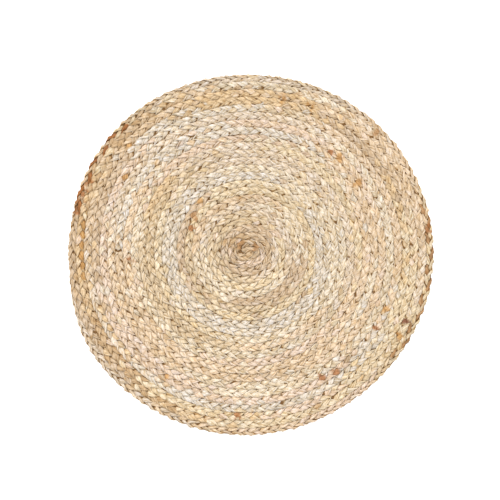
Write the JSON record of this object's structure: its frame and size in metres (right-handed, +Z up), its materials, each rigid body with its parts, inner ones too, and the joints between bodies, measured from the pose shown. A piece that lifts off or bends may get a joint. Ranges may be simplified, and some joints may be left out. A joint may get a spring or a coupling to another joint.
{
  "type": "corn husk placemat",
  "caption": "Round flat placemat of plaited corn husk, one long three-strand plait coiled from the middle out and sewn edge to edge, with a slightly uneven rim.",
  "frame": {"origin": "middle of the mat's box, on its flat underside", "axes": "+Z up out of the mat's face, +X to the right and +Y away from the user as the mat is seen from above; the tail of the plait ends on the rim near -X"},
  "size_m": [0.3812, 0.3766, 0.0052],
  "materials": {
    "corn_husk": "dry plaited husk, matt with a faint sheen on the smooth side of each leaf"
  },
  "bodies": {
    "root": {"plait_mat": "corn_husk"}
  },
  "joints": []
}
